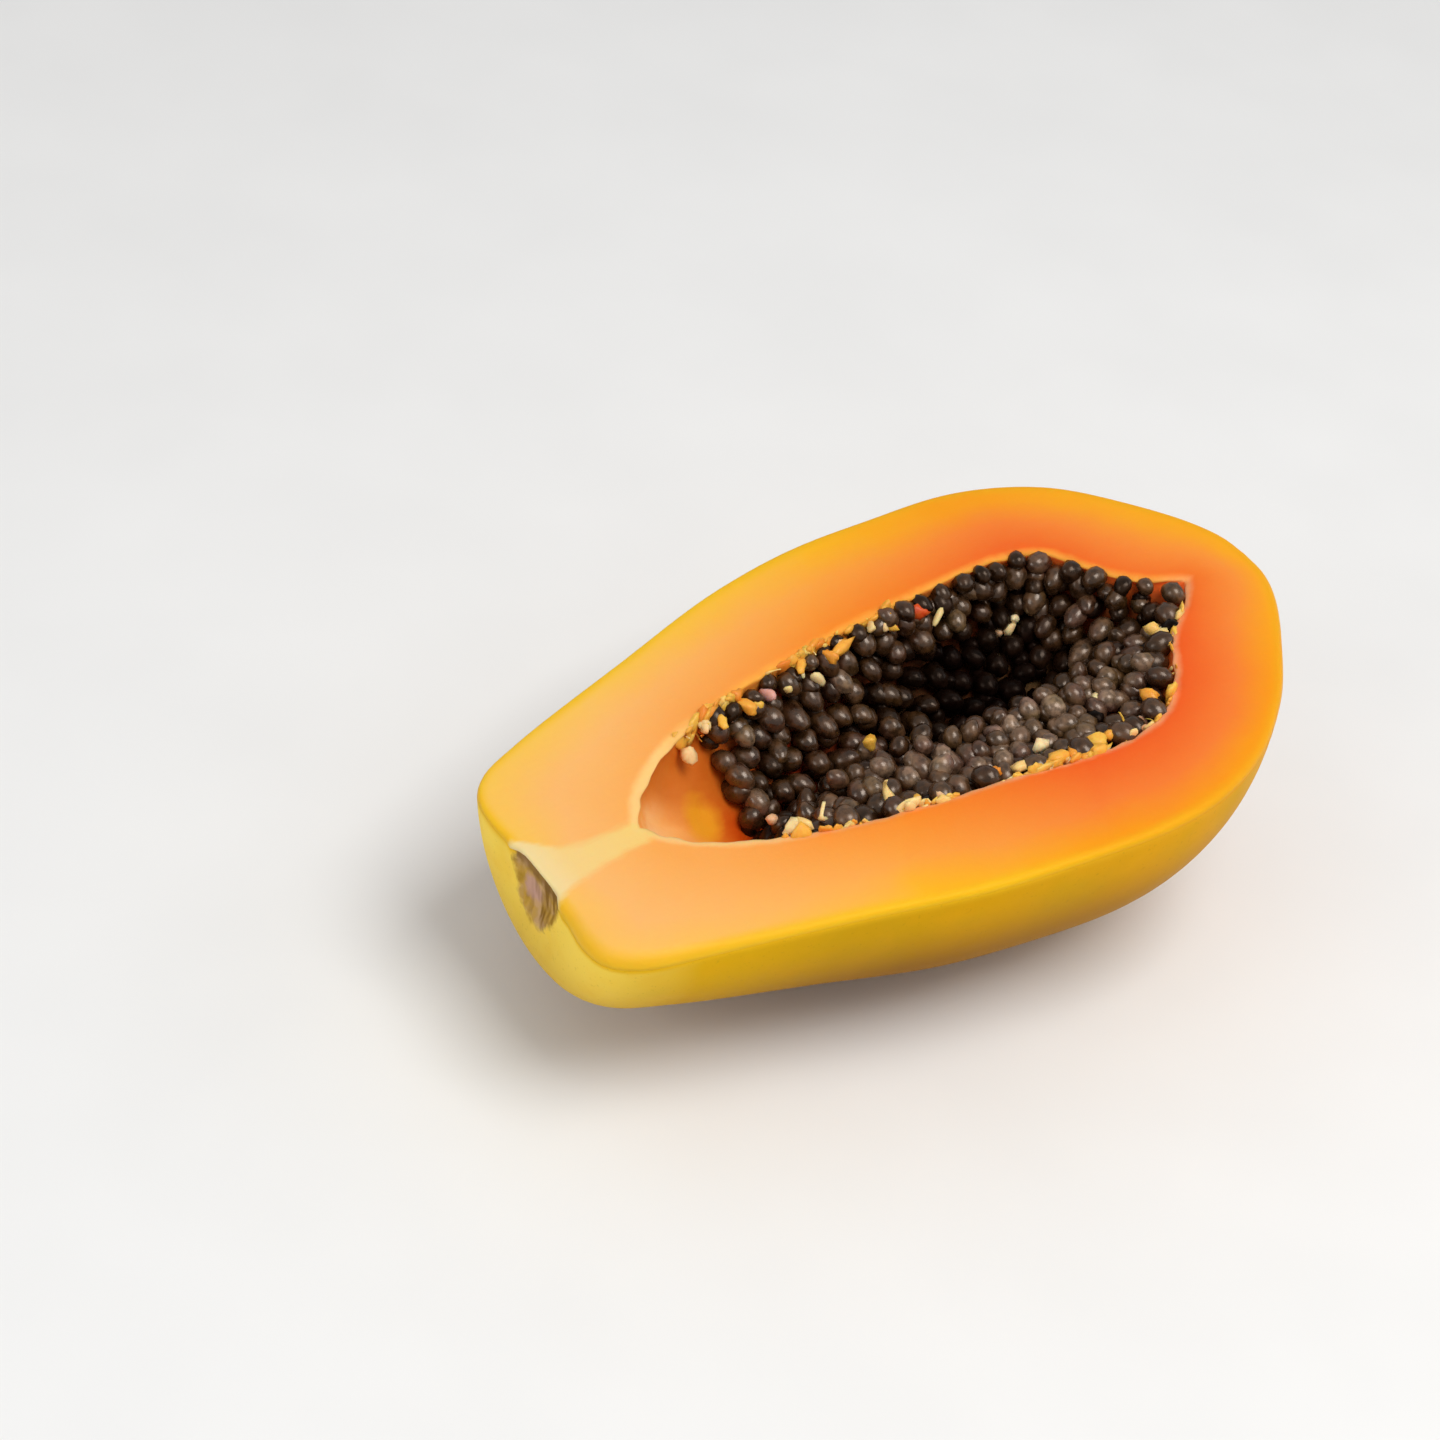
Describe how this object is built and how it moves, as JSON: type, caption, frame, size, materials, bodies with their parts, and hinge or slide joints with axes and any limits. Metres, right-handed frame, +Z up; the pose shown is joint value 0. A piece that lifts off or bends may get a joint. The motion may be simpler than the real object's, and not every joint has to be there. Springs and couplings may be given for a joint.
{
  "type": "papaya half",
  "caption": "Ripe papaya cut in half lengthwise: yellow skin, orange flesh, and an almond-shaped hollow lined with dark seeds. It rests on its rounded belly, cut face up.",
  "frame": {"origin": "on the surface the half rests on, under the middle of its bounding box", "axes": "+X from the stem end towards the blossom end along the longest side, +Z up out of the cut face"},
  "size_m": [0.2228, 0.13, 0.0746],
  "materials": {
    "flesh": "moist ripe flesh, deep orange near the hollow and paler at the stem end and rim",
    "skin": "smooth waxy yellow skin with a faint sheen",
    "seed": "dark brown-black seeds in a greyish translucent wet coat",
    "placenta": "pale cream and yellow fibres, crumbs and unripe seeds between the dark seeds"
  },
  "bodies": {
    "root": {"papaya_half": "flesh"}
  },
  "joints": []
}
